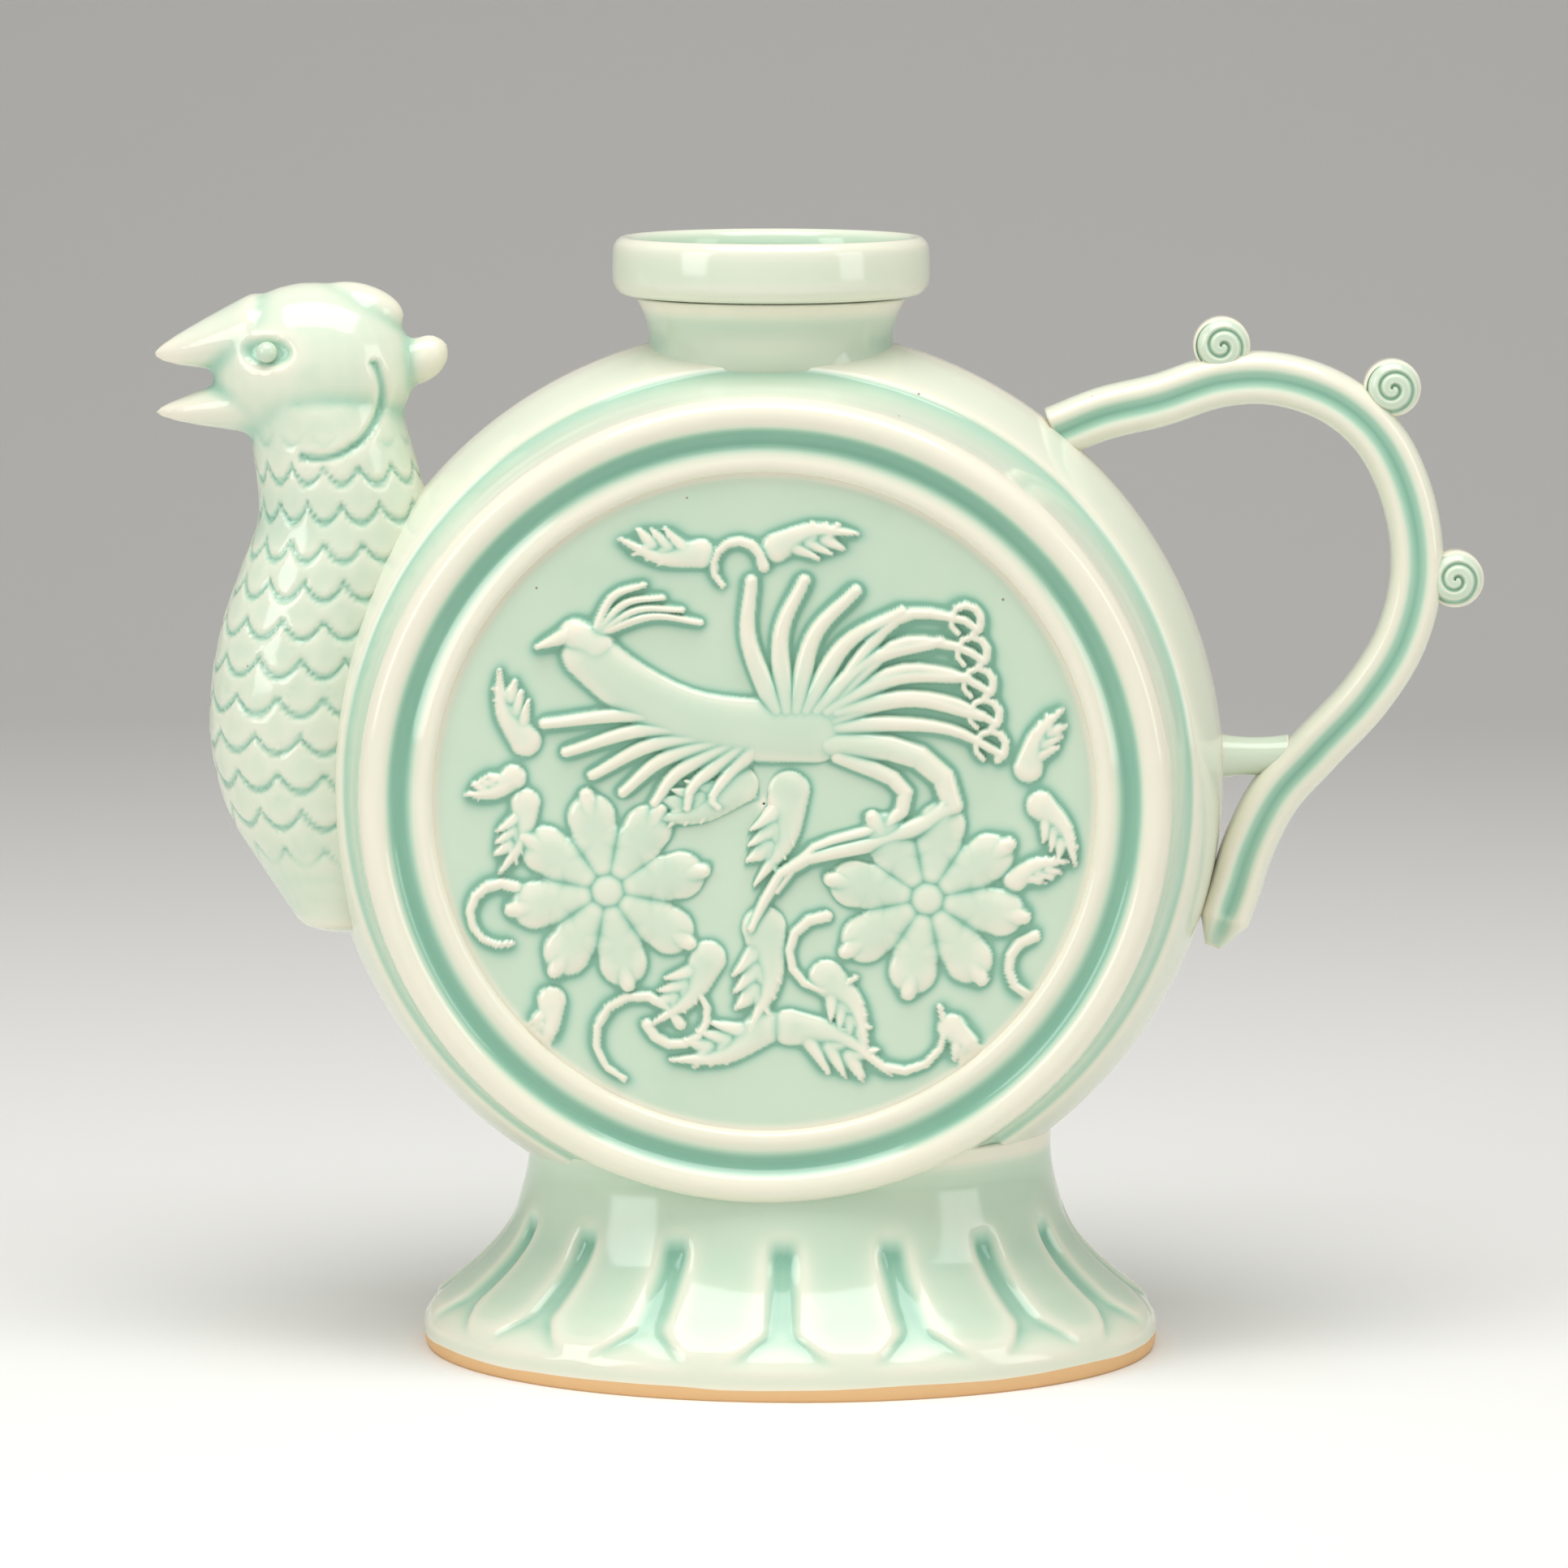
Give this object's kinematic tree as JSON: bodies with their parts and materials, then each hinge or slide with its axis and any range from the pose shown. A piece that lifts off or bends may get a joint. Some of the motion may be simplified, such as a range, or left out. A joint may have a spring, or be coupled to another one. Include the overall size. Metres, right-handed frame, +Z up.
{
  "type": "ewer",
  "caption": "Celadon ewer: round flat drum with relief discs on a flared oval lotus foot, open cup mouth, bird-shaped spout and scrolled strap handle.",
  "frame": {"origin": "middle of the bounding box on the surface that the foot stands on", "axes": "+Z up, -X towards the spout, -Y towards the front relief disc"},
  "size_m": [0.2168, 0.09, 0.1828],
  "materials": {
    "celadon_glaze": "glossy",
    "thin_glaze_relief": "glossy"
  },
  "bodies": {
    "root": {"front_body_half": "celadon_glaze", "back_body_half": "celadon_glaze", "front_medallion": "thin_glaze_relief", "back_medallion": "thin_glaze_relief", "neck": "celadon_glaze", "mouth_collar": "celadon_glaze", "foot": "celadon_glaze", "spout_near_half": "celadon_glaze", "spout_far_half": "celadon_glaze", "head_crest": "celadon_glaze", "nape_tuft": "celadon_glaze", "near_eye": "celadon_glaze", "far_eye": "celadon_glaze", "handle_strap": "celadon_glaze", "handle_stem": "celadon_glaze", "handle_curl_top": "celadon_glaze", "handle_curl_shoulder": "celadon_glaze", "handle_curl_back": "celadon_glaze"}
  },
  "joints": []
}
